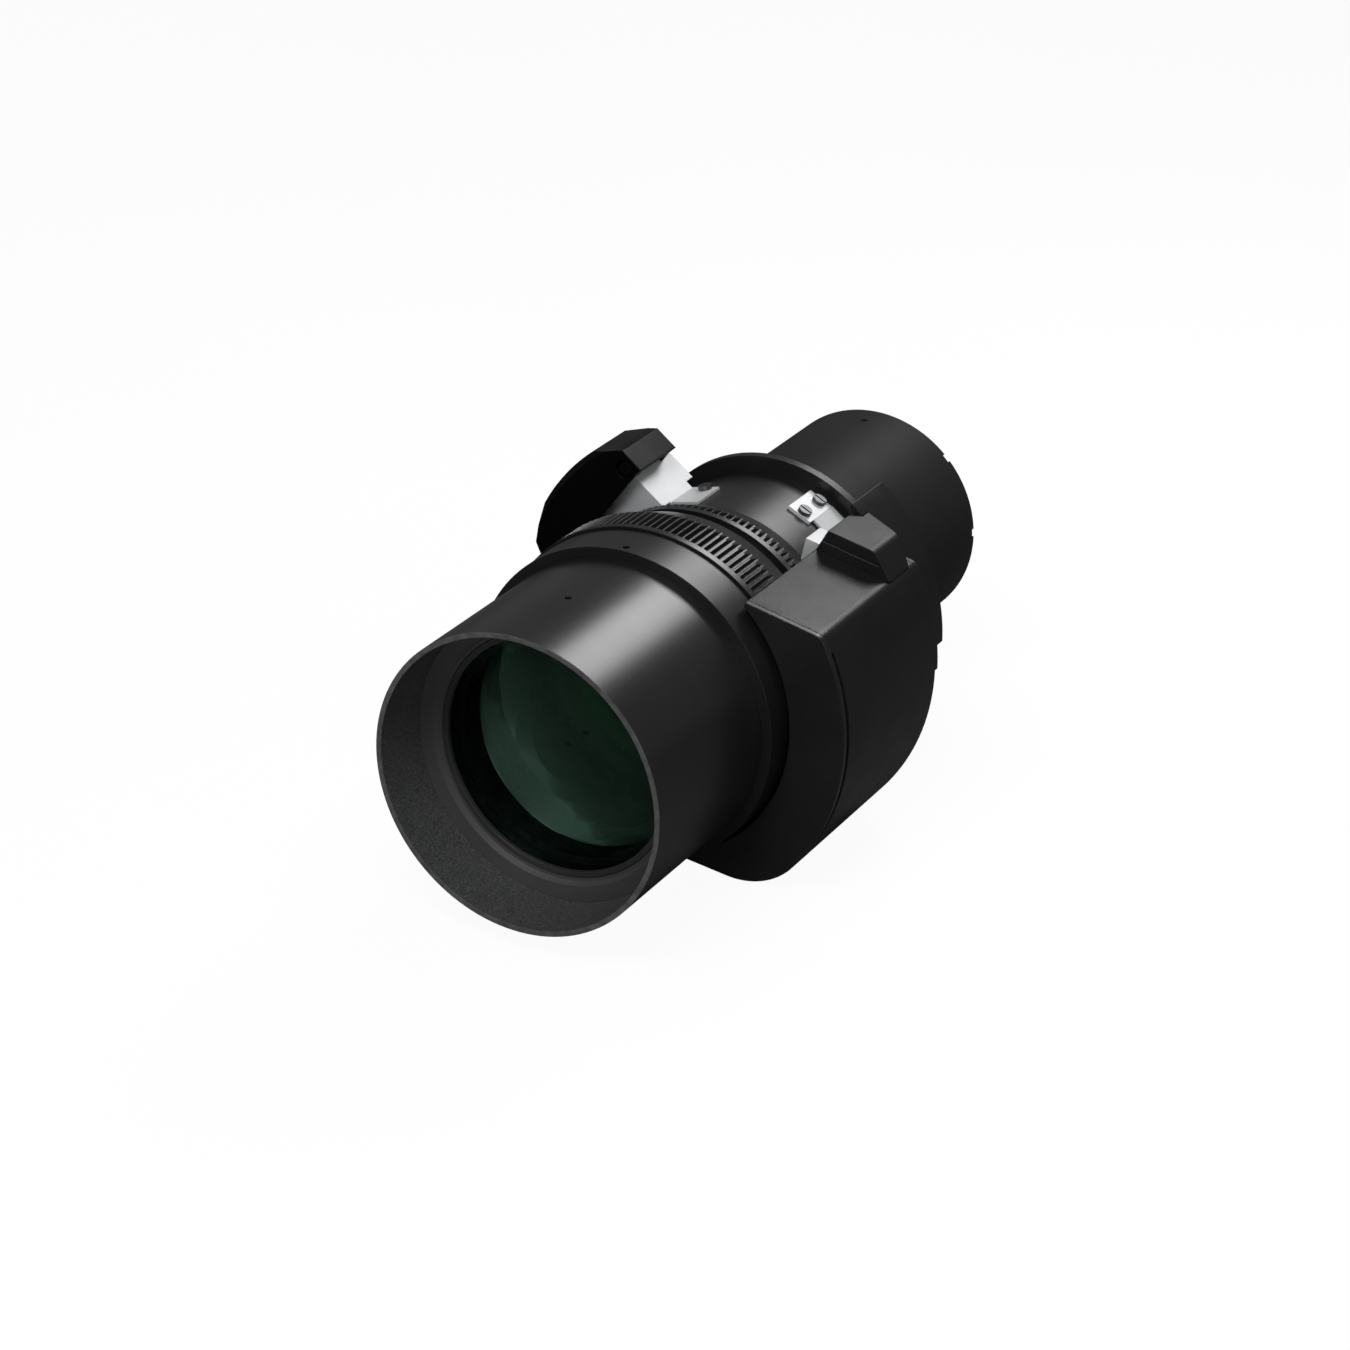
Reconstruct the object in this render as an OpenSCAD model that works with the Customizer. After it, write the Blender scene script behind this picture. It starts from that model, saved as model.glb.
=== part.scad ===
// Projection lens: a long motorised zoom lens that a projector holds by its mount flange.
// The lens axis lies along Y with the front towards -Y, and +Z is up. Lengths are millimetres.
// The origin is the middle of the mount flange's rear face, so stations ahead of it are negative.
// Angles in the XZ plane run from +X towards +Z.

/* [Front barrel] */
// height of the front barrel's outside above the fixed sleeve
hood_rise = 5; // [4.9:0.05:5.1]
// wall of the front barrel
hood_wall = 1.8; // [1.7:0.05:1.9]
// length of the front barrel that shows ahead of the collar
hood_len = 66.8; // [64:0.2:70]
// how far the front barrel goes into the collar
hood_seat_len = 7.2; // [6.6:0.1:7.5]
// how much slimmer the front barrel is inside the collar
hood_step = 0.8; // [0.7:0.05:0.9]
// height of the collar's outside above the front barrel's
collar_rise = 3.5; // [3.3:0.1:3.8]
// length of the collar
collar_len = 16.6; // [16.2:0.1:17]
// height of the collar's threaded bore above the fixed sleeve
thread_rise = 2.7; // [2.4:0.1:2.8]
// length of the collar's threaded bore
thread_len = 7.9; // [7.4:0.1:8.2]
// length of the collar's guide sleeve ahead of the collar's front face
guide_len = 10.8; // [10:0.2:12]
// distance of the key pins' inner ends from the main tube
key_rise = 2; // [1.8:0.1:2.4]
// radius of the small set screws
set_screw_r = 1.2; // [1:0.05:1.4]
// angle of the set screws round the axis
set_screw_a = 89.7; // [85:0.1:95]
// distance of the front barrel's set screw behind the front rim
hood_screw_at = 33.1; // [31:0.1:36]
// distance of the collar's set screw behind the collar's front face
collar_screw_at = 3; // [2.6:0.1:3.6]

/* [Front cell] */
// how far the front cell's face stands ahead of the collar
cell_ahead = 44.2; // [43.3:0.1:44.8]
// width of the front cell's flat face
cell_face_w = 5.5; // [5.3:0.1:5.7]
// width of the face's bevel
cell_bevel_w = 1; // [0.9:0.05:1.1]
// depth of that bevel
cell_bevel = 1.8; // [1.6:0.1:2]
// width of the ledge from that bevel to the front glass's edge
glass_ledge = 1.2; // [1.1:0.05:1.4]
// width of the front retaining ring
retainer_w = 1.9; // [1.7:0.1:2.1]
// thickness of the front retaining ring
retainer_t = 1.6; // [1.4:0.1:1.8]
// edge thickness of the front glass
glass_t = 8; // [7.5:0.1:8.5]
// how far the front glass bulges forwards
glass_sag = 5.5; // [5:0.1:6]
// how hollow the front glass's rear face is
glass_hollow = 1.2; // [1:0.1:1.4]
// how much smaller the second glass is than the front glass
second_drop = 4.1; // [4:0.1:4.5]
// edge thickness of the second glass
second_t = 10.5; // [10:0.1:11]
// width of the second glass's flat rim
second_rim = 3; // [2.8:0.1:3.2]
// how hollow the second glass's front face is
second_hollow = 2; // [1.8:0.1:2.2]
// how hollow the second glass's rear face is
second_back_hollow = 4; // [3.6:0.1:4.2]
// length of the bore that holds the second glass
second_seat_len = 13; // [12.6:0.1:13.4]
// thickness of the front cell's rear wall
cell_back_t = 3; // [2.5:0.1:3.4]
// width of the front cell's rear wall inside the second glass's seat
cell_back_w = 4.4; // [3.6:0.1:6]

/* [Gear rings] */
// gear module of both rings and their pinions
tooth_module = 0.8; // [0.79:0.005:0.81]
// number of teeth on the focus ring
focus_teeth = 139; // [139]
// number of teeth on the zoom ring
zoom_teeth = 124; // [124]
// width of the focus ring's plain front rim
focus_rim = 2.5; // [2.3:0.1:2.7]
// length of the focus ring's full teeth
focus_teeth_len = 11.5; // [11.1:0.1:12]
// length of the focus ring's rear cone
focus_cone_len = 14; // [13.6:0.1:14.4]
// fall of the focus ring's rear cone
focus_cone_drop = 4.9; // [4.6:0.1:5.3]
// length of the focus ring's threaded sleeve ahead of its rim
focus_sleeve_len = 7.9; // [7.4:0.1:7.9]
// width of the zoom ring's plain front rim
zoom_rim = 2.4; // [2.3:0.1:2.5]
// length of the zoom ring's full teeth
zoom_teeth_len = 2.3; // [2.2:0.1:2.5]
// length of the zoom ring's rear cone
zoom_cone_len = 13.2; // [13:0.1:13.4]
// fall of the zoom ring's rear cone
zoom_cone_drop = 5.1; // [4.9:0.1:5.3]
// space between the two rings
ring_space = 5.4; // [5.2:0.1:5.6]
// thin gap beside each ring
ring_gap = 0.4; // [0.3:0.05:0.5]

/* [Barrels] */
// wall of the fixed sleeve under the focus ring
focus_seat_wall = 4.5; // [4.4:0.05:4.55]
// length of that sleeve ahead of the focus ring
focus_seat_len = 27.8; // [27.2:0.2:29]
// wall of the zoom ring between its bore and its teeth's roots
zoom_ring_wall = 6.1; // [6:0.05:6.2]
// length of the main tube ahead of the zoom ring
main_front_len = 27.2; // [27:0.2:28]
// wall of the main tube
main_wall = 4.5; // [4.4:0.05:4.6]
// step from the main tube up to the centre barrel
barrel_step = 2.6; // [2.5:0.05:2.65]
// length of the centre barrel
barrel_len = 35.1; // [35:0.1:35.6]
// height of the mount flange's rim above the centre barrel
flange_rise = 5.7; // [4:0.1:7.5]
// thickness of the mount flange
flange_t = 3.4; // [3:0.1:3.6]
// how much slimmer the rear barrel is inside the mount flange
rear_step = 1; // [0.8:0.1:1.2]
// step from the centre barrel down to the rear barrel
rear_drop = 4.5; // [4.2:0.1:4.8]
// wall of the rear barrel
rear_wall = 2.4; // [2.2:0.05:2.6]
// length of the rear barrel behind the mount face
rear_len = 77.3; // [75:0.1:84]
// angles of the two notches in the rear rim
notch_angles = [2.1, 44.3];
// width of a rear rim notch
notch_w = 3; // [2:0.1:4]
// depth of a rear rim notch
notch_depth = 1.3; // [1:0.1:1.5]

/* [Inner optics] */
// radius of the follower pins
pin_r = 1.5; // [1.3:0.1:1.6]
// distance of the variator's pins behind the zoom ring's front
variator_pin_at = 5.3; // [5.2:0.1:5.4]
// distance of the compensator's pins behind the zoom ring's front
compensator_pin_at = 13.4; // [13.3:0.05:13.5]
// how far the variator moves forwards from its place in the photo
variator_fore = 4; // [3.9:0.05:4.1]
// how far the variator moves backwards from there
variator_aft = 2; // [1.9:0.05:2.1]
// how far the compensator moves forwards from its place in the photo
compensator_fore = 0.95; // [0.9:0.05:1]
// how far the compensator moves backwards from there
compensator_aft = 1.9; // [1.85:0.05:2]
// length of the variator cell
variator_len = 27; // [25:0.5:27.5]
// length of the compensator cell
compensator_len = 23.6; // [22:0.2:24]
// wall of the variator cell round its glass
variator_wall = 7.1; // [6.4:0.1:9.5]
// wall of the compensator cell round its glass
compensator_wall = 8.1; // [6.4:0.1:9.5]
// edge thickness of the inner glasses
inner_glass_t = 7; // [6:0.2:8]
// how far the inner glasses bulge
inner_sag = 2.2; // [1.5:0.1:2.6]
// width of the aperture stop's ring
stop_w = 21; // [16:0.5:24]
// thickness of the aperture stop
stop_t = 2; // [1.5:0.1:2.5]
// wall of the rear cell round its glass
rear_cell_wall = 8.2; // [6.4:0.1:10]
// edge thickness of the rear glass
rear_glass_t = 8; // [7:0.2:9]
// length of the rear cell
rear_cell_len = 29; // [26:0.5:31]
// distance from the rear rim to the rear cell's end
rear_cell_in = 2.3; // [2:0.1:3]
// distance of the rear set screw ahead of the rear rim
rear_screw_in = 10; // [8:0.1:12]

/* [Right motor cover] */
// how far the right cover's side stands out past the collar
cover_out = 21.2; // [21:0.1:22]
// wall of the covers
cover_wall = 2; // [1.8:0.05:2.1]
// distance of the front plate behind the collar's front face
cover_back = 9.6; // [9.2:0.1:10]
// thickness of the front plate
plate_t = 2; // [1.8:0.1:2.2]
// width of the groove behind the front plate
groove_w = 2; // [1.8:0.1:2.2]
// space between the collar and the right cover round it
cover_space = 1.5; // [1.4:0.05:1.7]
// direction of the flat top's normal
facet_a = 77; // [76.5:0.1:77.5]
// distance of the flat top from the lens axis
facet_c = 50.2; // [50.1:0.05:50.6]
// place of the flat top's left edge, measured across the flat
facet_s = 29.9; // [29.6:0.1:30.1]
// corner radius beside the flat top
top_round = 4.5; // [4:0.1:5]
// direction of the bottom edge's normal
low_a = -98.6; // [-99:0.1:-98]
// distance of the bottom edge from the lens axis
low_c = 52.8; // [52.6:0.1:53]
// radius of the big bottom corner
low_round = 26.8; // [26:0.1:27.5]
// groove angles on the side wall
groove_from_a = -30; // [-32:1:-28]
groove_to_a = 23; // [20:1:24]
// how far the shell reaches behind the zoom ring's rear end
shell_past = 8.9; // [8.8:0.1:9.2]
// length of the raised box ahead of the centre barrel
box_ahead = 9.5; // [9.2:0.1:9.6]
// height of the raised box's top above the flat top
box_h = 8.2; // [8.1:0.05:8.5]
// place of the raised box's upper left edge
box_s = 32.4; // [32.2:0.1:32.6]
// corner radius of the raised box
box_round = 4; // [3.6:0.1:4.4]
// how far the raised box's left end stays ahead of the mount face
box_rear = 24.8; // [24.6:0.1:25]
// slope of the raised box's rear edge
box_slope = 0.37; // [0.34:0.01:0.4]
// place of the rear rib's left side across the flat
rib_s0 = 30.7; // [30.5:0.1:30.9]
// place of the rear rib's right side across the flat
rib_s1 = 33.7; // [33.6:0.1:33.9]
// distance of the rib's end ahead of the mount face
rib_end = 6; // [5.5:0.1:6.5]
// how much lower the cover's rear part is than its front part
aft_drop = 8; // [7.8:0.1:8.2]
// lower side of the cover's rear part
aft_a = -1; // [-2:0.1:-0.5]
// distance of the rear part's end ahead of the mount face
aft_end = 7.6; // [7.2:0.1:8]

/* [Motors] */
// radius of both motors
motor_r = 8; // [7.8:0.05:8.1]
// angle of the focus motor round the lens axis
focus_motor_a = -22; // [-23:0.5:-21]
// length of the focus motor
focus_motor_len = 31.5; // [30:0.2:32]
// distance of the focus motor ahead of the zoom ring's front
focus_motor_ahead = 9.2; // [9.1:0.1:9.3]
// angle of the zoom motor round the lens axis
zoom_motor_a = 20; // [19.5:0.1:20.5]
// length of the zoom motor
zoom_motor_len = 36; // [34:0.2:37]
// distance of the zoom motor behind the zoom ring's front
zoom_motor_back = 8.8; // [8.7:0.1:8.9]
// number of teeth on the focus pinion
focus_pinion_teeth = 16; // [16]
// number of teeth on the zoom pinion
zoom_pinion_teeth = 20; // [20]
// radius of the motor shafts
shaft_r = 1.5; // [1.4:0.05:1.6]
// face width of the focus pinion
focus_pinion_w = 10.4; // [10:0.1:10.6]
// face width of the zoom pinion
zoom_pinion_w = 4.1; // [3.9:0.1:4.3]
// length of a shaft inside its motor
shaft_in = 6; // [5:0.2:6.5]
// length of a shaft past its pinion
shaft_past = 2; // [1.5:0.1:2.2]
// half span of a motor's mounting ears
ear_half = 13; // [12.8:0.1:13.2]
// half width of a motor's ears
ear_w = 3; // [2.8:0.1:3.2]
// thickness of a motor's ears
ear_t = 1.2; // [1.1:0.05:1.3]
// distance of an ear's screw from the ear's end
ear_hole_in = 2; // [1.9:0.1:2.1]
// how far the ring between a motor's ears stands out past its body
motor_rim = 1.6; // [1.4:0.1:1.7]
// height of the boss on a motor's rear end
motor_boss_h = 1.5; // [1.2:0.1:1.6]
// radius of the motor screws' heads
motor_screw_head_r = 1.9; // [1.8:0.05:2]
// how far the motor screws reach past the web
motor_screw_past = 1.3; // [1.1:0.1:1.5]

/* [Brackets] */
// thickness of the bracket sheet
sheet_t = 1; // [0.9:0.05:1.1]
// distance of the right bracket's web ahead of the centre barrel
web_ahead = 4.3; // [4.2:0.1:4.4]
// how far the right bracket's web stays inside the cover's radius
web_in = 5.7; // [5.5:0.1:6.5]
// space between the webs and the zoom ring's rear end
web_space = 2.1; // [2:0.05:2.3]
// angles of the right web's outer corners, from the top down
web_angles = [10, -20, -42];
// how far the right web's lowest corner stays inside its radius
web_end_in = 4; // [3.5:0.1:4.5]
// drop of the web's top edge below the flat top
web_drop = 3.6; // [3.5:0.1:3.8]
// drop of the bracket's tip below the flat top
tip_drop = 0.9; // [0.8:0.1:1]
// width of the bracket's tip beside the flat top
tip_w = 5.9; // [5.7:0.1:6.1]
// length of the bracket's tip
tip_len = 10.3; // [10:0.1:10.6]
// height of the right bracket's rib outside the web's clear radius
bracket_rib_h = 12.6; // [12.4:0.1:12.8]
// place of that rib across its plane
bracket_rib_s = 5; // [4.9:0.1:5.1]
// rear end of that rib ahead of the mount face
bracket_rib_back = 20; // [19.8:0.1:20.2]
// turn from the flat top's direction to the right pad's
pad_turn = 15; // [14.8:0.1:15.2]
// turn from the right pad's direction to the rib's
rib_turn = 24; // [23.9:0.1:24.1]
// turn from the right pad's direction to the bend's
bend_turn = 9.5; // [9.4:0.1:9.6]
// half width of the bend beside the pad
bend_half = 5.9; // [5.85:0.05:6]
// distance of the bend's front end behind the pad's
bend_in = 2.5; // [2.4:0.1:2.8]
// height of the right pad's top above the centre barrel
pad_h = 1.1; // [1:0.05:1.2]
// place of the right pad's left side across it
pad_s0 = -5.6; // [-5.8:0.1:-5.4]
// place of the right pad's right side across it
pad_s1 = 3.8; // [3.7:0.05:3.9]
// front end of the right pad ahead of the mount face
pad_front = 22.3; // [22:0.1:22.6]
// rear end of the right pad ahead of the mount face
pad_back = 6.3; // [6.1:0.1:6.6]
// place of the right pad's screws across it
pad_screw_s = -0.5; // [-0.6:0.1:-0.4]
// distance of the front pad screw from the pad's front end
pad_screw_front = 2.6; // [2.5:0.1:2.7]
// distance of the rear pad screw from the pad's rear end
pad_screw_back = 2.7; // [2.6:0.1:2.8]
// direction of the left foot's normal
foot_a = 102; // [101.5:0.1:102.5]
// height of the left foot's top above the centre barrel
foot_h = 1.2; // [1.15:0.05:1.4]
// place of the left foot's left side across it
foot_s0 = -10.6; // [-10.7:0.05:-10.5]
// place of the left foot's right side across it
foot_s1 = -0.2; // [-0.3:0.05:0]
// rear end of the left foot ahead of the mount face
foot_back = 23; // [22.6:0.1:23.4]
// place of the left foot's screw across it
foot_screw_s = -4.5; // [-4.7:0.1:-4.3]
// distance of that screw ahead of the foot's rear end
foot_screw_in = 2.1; // [2:0.1:2.3]
// direction of the left plate's normal
fin_a = 52; // [51.8:0.1:52.2]
// distance of the left plate's outer face from the lens axis
fin_c = 21.3; // [21.2:0.05:21.4]
// outer end of the left plate
fin_s0 = -57; // [-57.2:0.1:-56.8]
// inner end of the left plate
fin_s1 = -40.8; // [-40.9:0.05:-40.7]
// front end of the left plate ahead of the centre barrel
fin_ahead = 4.5; // [4.4:0.05:4.6]
// rear end of the left plate ahead of the mount face
fin_back = 18.5; // [18:0.1:19]
// width of the step at the left plate's front end
fin_step_w = 1.8; // [1.7:0.1:1.9]
// width of the notch at the left plate's rear end
fin_notch_w = 4.6; // [4.4:0.1:4.8]
// distance of the left web's corner from the left plate's inner end
fin_web_in = 3.4; // [3.3:0.1:3.5]
// height of the left web outside its clear radius
left_web_h = 15.6; // [15.4:0.1:15.8]
// angles of the left web's inner corner and outer corners
left_web_angles = [125, 130, 142];
// radius of the left web's end round the cover screw
screw_eye_r = 2.5; // [2.4:0.05:2.5]
// radius of the bracket screws' heads
screw_head_r = 2.4; // [2.2:0.05:2.5]
// height of the bracket screws' heads
screw_head_h = 1.4; // [1.2:0.05:1.6]
// radius of the bracket screws' shanks
screw_r = 1.2; // [1:0.05:1.3]
// length of the bracket screws' shanks
screw_len = 5; // [4.5:0.1:5.2]

/* [Left sensor cover] */
// how far the left cover stands out past the collar
left_out = 19.6; // [19.3:0.1:20.1]
// front edge chamfer of the left cover
left_chamfer = 2.3; // [2.1:0.1:2.4]
// length of the left cover
left_len = 24; // [23.6:0.1:24.4]
// direction of the sensor board's middle
board_a = 136; // [135:0.5:137]
// distance of the board outside the webs' clear radius
board_gap = 3.6; // [3.4:0.1:3.8]
// height of the board
board_h = 11; // [10.6:0.1:11.4]
// half width of the board
board_half = 8; // [7.6:0.1:8.2]
// thickness of the board
board_t = 1.6; // [1.4:0.1:1.8]
// distance of the socket from the board's outer edge
socket_edge = 2; // [1.8:0.1:2.4]
// height of the socket across the board
socket_w = 6; // [5.6:0.1:6.4]
// half width of the socket
socket_half = 6; // [5.6:0.1:6.4]
// how far the socket stands off the board
socket_h = 8; // [6:0.5:9]
// wall of the socket
socket_wall = 1; // [0.8:0.1:1.2]
// wall round the cover screw's recess
boss_wall = 1; // [0.9:0.1:1.2]
// radius of the cover screw's recess
recess_r = 3.3; // [3:0.1:3.4]
// depth of that recess
recess_depth = 2; // [1.8:0.1:2.2]
// length of the cross in the cover screw's head
cross_len = 3.1; // [2.9:0.1:3.3]
// width of that cross
cross_w = 0.6; // [0.5:0.05:0.7]

/* [Fits] */
// clearance between pieces that are pushed or screwed together
fit = 0.05; // [0.04:0.01:0.06]
// clearance under the turning rings and round the sliding cells
run_fit = 0.08; // [0.06:0.01:0.1]
// clearance round screws, slots and motors
screw_clear = 0.3; // [0.28:0.01:0.32]
// pressure angle of the teeth
press_angle = 20; // [20]
// width of the ledges that hold the inner glasses
lip = 4; // [3.6:0.1:4.4]

/* [Hidden] */
$fn = 72;
// how far a cutting shape reaches past what it cuts
cut = 0.5;
// number of steps in half a glass's face
arc_steps = 6;
// tooth space and tooth width on the pitch circle, and the root's depth below it
tooth_gap = 1.76 * tooth_module;
tooth_thick = 1.25 * tooth_module;
root_drop = 1.25 * tooth_module;

focus_pitch_r = focus_teeth * tooth_module / 2;
zoom_pitch_r = zoom_teeth * tooth_module / 2;
focus_tip_r = focus_pitch_r + tooth_module;
zoom_tip_r = zoom_pitch_r + tooth_module;
focus_root_r = focus_pitch_r - root_drop;
zoom_root_r = zoom_pitch_r - root_drop;
focus_axis_r = (focus_teeth + focus_pinion_teeth) * tooth_module / 2;
zoom_axis_r = (zoom_teeth + zoom_pinion_teeth) * tooth_module / 2;

// radii, worked out from the teeth of the zoom ring
zoom_seat_r = zoom_root_r - zoom_ring_wall;
main_bore_r = zoom_seat_r - main_wall;
barrel_r = zoom_seat_r + barrel_step;
focus_seat_r = zoom_seat_r + focus_seat_wall;
thread_r = focus_seat_r + thread_rise;
hood_r = focus_seat_r + hood_rise;
collar_r = hood_r + collar_rise;
flange_r = barrel_r + flange_rise;
rear_r = barrel_r - rear_drop;
rear_bore_r = rear_r - rear_wall;
cell_face_r = hood_r - hood_wall - cell_face_w;
cell_step_r = cell_face_r - cell_bevel_w;
glass_r = cell_step_r - glass_ledge;
glass_open_r = glass_r - retainer_w;
second_r = glass_r - second_drop;
cell_open_r = second_r - cell_back_w;
focus_end_r = focus_tip_r - focus_cone_drop;
zoom_end_r = zoom_tip_r - zoom_cone_drop;
cover_bore_r = collar_r + cover_space;
web_bore_r = zoom_end_r + web_space;
variator_glass_r = main_bore_r - variator_wall;
compensator_glass_r = main_bore_r - compensator_wall;
stop_open_r = main_bore_r - stop_w;
rear_glass_r = rear_bore_r - rear_cell_wall;
cover_r = collar_r + cover_out;
aft_r = cover_r - aft_drop;
left_r = collar_r + left_out;
web_r = cover_r - web_in;
box_c = facet_c + box_h;
pad_a = facet_a - pad_turn;
pad_c = barrel_r + pad_h;
foot_c = barrel_r + foot_h;
hood_seat_r = hood_r - hood_step;
rear_seat_r = rear_r - rear_step;

// stations along the axis, worked out forwards from the mount face
y_flange = -flange_t;
y_barrel = y_flange - barrel_len;
y_zoom_end = y_barrel - ring_gap;
y_zoom_cone = y_zoom_end - zoom_cone_len;
y_zoom_teeth = y_zoom_cone - zoom_teeth_len;
y_zoom = y_zoom_teeth - zoom_rim;
y_focus_end = y_zoom - ring_space;
y_focus_cone = y_focus_end - focus_cone_len;
y_focus_teeth = y_focus_cone - focus_teeth_len;
y_focus = y_focus_teeth - focus_rim;
y_collar_end = y_focus - ring_gap;
y_collar = y_collar_end - collar_len;
y_front = y_collar - hood_len;
y_hood_end = y_collar + hood_seat_len;
y_thread = y_collar_end - thread_len;
y_cell = y_collar - cell_ahead;
y_cell_step = y_cell + cell_bevel;
y_glass = y_cell_step + retainer_t;
y_glass_end = y_glass + glass_t;
y_second_end = y_glass_end + second_seat_len;
y_cell_end = y_second_end + cell_back_t;
y_seat = y_focus - focus_seat_len;
y_main = y_zoom - main_front_len;
y_variator_pin = y_zoom + variator_pin_at;
y_compensator_pin = y_zoom + compensator_pin_at;
y_variator_end = y_variator_pin + pin_r + 2 * ring_gap + fit * 4;
y_compensator = y_compensator_pin - pin_r - 2 * ring_gap + fit * 2;
y_stop = y_flange - 5 * stop_t;
y_cover = y_collar + cover_back;
y_shell = y_cover + plate_t;
y_groove_end = y_shell + groove_w;
y_shell_end = y_zoom_end + shell_past;
y_box = y_barrel - box_ahead;
y_aft_end = -aft_end;
y_focus_motor = y_zoom - focus_motor_ahead;
y_zoom_motor = y_zoom + zoom_motor_back;
y_web = y_barrel - web_ahead;
rear_screw_at = rear_len - rear_screw_in;
y_left = y_box;
y_left_end = y_left + left_len;
y_fin = y_barrel - fin_ahead + sheet_t;
y_left_web = y_fin - sheet_t;
y_ears = y_web - ear_t;
y_key = y_collar - guide_len / 2;
y_board = y_left_web + sheet_t;

hood_bore_r = hood_r - hood_wall;
cell_r = hood_bore_r - fit;
guide_bore_r = focus_seat_r + run_fit;
guide_r = hood_bore_r - ring_gap;
seat_flange_r = focus_seat_r + cut;
key_angles = [60, 180, 300];
key_w = 2 * pin_r + 2 * screw_clear;
variator_angles = [30, 150, 270];
compensator_angles = [90, 210, 330];
inner_cell_r = main_bore_r - run_fit;
pin_top_r = zoom_seat_r - screw_clear;

// corner centres of the right cover's outline
top_corner_s = sqrt(pow(cover_r - top_round, 2) - pow(facet_c - top_round, 2));
top_corner = on_plane(facet_a, facet_c - top_round, top_corner_s);
top_corner_a = atan2(top_corner[1], top_corner[0]);
low_corner_s = -sqrt(pow(cover_r - low_round, 2) - pow(low_c - low_round, 2));
low_corner = on_plane(low_a, low_c - low_round, low_corner_s);
low_corner_a = atan2(low_corner[1], low_corner[0]);
low_end_s = -sqrt(pow(cover_bore_r, 2) - pow(low_c, 2));
box_corner_s = sqrt(pow(cover_r - box_round, 2) - pow(box_c - box_round, 2));
box_corner = on_plane(facet_a, box_c - box_round, box_corner_s);
box_corner_a = atan2(box_corner[1], box_corner[0]);
box_back = box_rear - 2 * box_slope * cover_wall;
far_r = 2 * cover_r;

// places on the brackets' planes
pad_t = 1.3 * sheet_t;
bend_c = pad_c - 0.9 * sheet_t;
pad_screw_y = [-pad_front + pad_screw_front, -pad_back - pad_screw_back];
foot_screw_y = -foot_back - foot_screw_in;
tip_c = facet_c - tip_drop;
tip_s1 = facet_s - 2 * screw_clear;
tip_s0 = tip_s1 - tip_w;
rib_plane_a = pad_a - rib_turn;
bend_plane_a = pad_a - bend_turn;
eye_turn = 80;
board_r = web_bore_r + board_gap;
socket_r = board_r + board_h - socket_edge;

// outline of the left cover as shares of its radius, then the part of it that the wall leaves open
left_outline_shares = [[-0.445, 0.832], [-0.493, 0.824], [-0.632, 0.783], [-0.95, 1.13],
    [-1.3, 0.73], [-0.875, 0.485], [-0.908, 0.293], [-0.885, 0.24], [-0.839, 0.22],
    [-0.672, 0.22], [-0.613, 0.393], [-0.547, 0.506], [-0.457, 0.623], [-0.381, 0.727],
    [-0.349, 0.756]];
left_screw_shares = [-0.435, 0.746];
left_screw = left_screw_shares * left_r;

// the piece that a run draws, or all

// a point on the plane whose normal has angle a, at distance c and s across it
function on_plane(a, c, s) = [c * cos(a) + s * sin(a), c * sin(a) - s * cos(a)];
function polar(r, a) = [r * cos(a), r * sin(a)];
function involute(a) = tan(a) - a * PI / 180;
function slanted_y(s) = -box_rear - box_slope * (s - rib_s1);

// a round bar along the lens axis
module rod(r, y0, y1) {
    translate([0, y1, 0]) rotate([90, 0, 0]) cylinder(h = y1 - y0, r = r);
}

module rod_at(p, r, y0, y1) {
    translate([p[0], 0, p[1]]) rod(r, y0, y1);
}

module tube(ro, ri, y0, y1) {
    difference() {
        rod(ro, y0, y1);
        rod(ri, y0 - cut, y1 + cut);
    }
}

// an outline in the XZ plane, made solid between two stations
module slab(y0, y1) {
    translate([0, y1, 0]) rotate([90, 0, 0]) linear_extrude(y1 - y0) children();
}

// a profile of radius and station, turned round the lens axis
module turned() {
    rotate([-90, 0, 0]) rotate_extrude() children();
}

// a round bar that points away from the lens axis
module spoke(r, a, y, r0, r1) {
    rotate([0, -a, 0]) translate([r0, y, 0]) rotate([0, 90, 0]) cylinder(h = r1 - r0, r = r);
}

// a flat block on the plane whose normal has angle a
module leaf(a, c0, c1, s0, s1, y0, y1) {
    rotate([0, -a, 0]) translate([c0, y0, -s1]) cube([c1 - c0, y1 - y0, s1 - s0]);
}

// an outline of station and height across, made solid along the normal of angle a
module rising(a, c0, c1) {
    rotate([0, -a, 0]) translate([c0, 0, 0]) rotate([90, 0, 90]) linear_extrude(c1 - c0) children();
}

// a screw that stands on a plane: shank inwards, slotted head outwards
module plane_screw(a, c, s, y, deep) {
    difference() {
        rotate([0, -a, 0]) translate([c, y, -s]) rotate([0, 90, 0]) {
            cylinder(h = screw_head_h, r = screw_head_r);
            translate([0, 0, -deep]) cylinder(h = deep + cut, r = screw_r);
        }
        leaf(a, c + screw_head_h / 2, c + screw_head_h + cut, s - screw_head_r * 2,
            s + screw_head_r * 2, y - screw_head_r / 7, y + screw_head_r / 7);
    }
}

module plane_hole(a, c0, c1, s, y, r) {
    rotate([0, -a, 0]) translate([c0, y, -s]) rotate([0, 90, 0]) cylinder(h = c1 - c0, r = r);
}

// half of a glass's profile face: from the middle out to face_r, on an arc that bulges by sag
function face_arc(face_r, y, sag) =
    let (ball = (face_r * face_r + sag * sag) / (2 * sag))
    [for (i = [0 : arc_steps]) let (r = face_r * i / arc_steps)
        [r, y - sag + ball - sign(ball) * sqrt(ball * ball - r * r)]];

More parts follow.
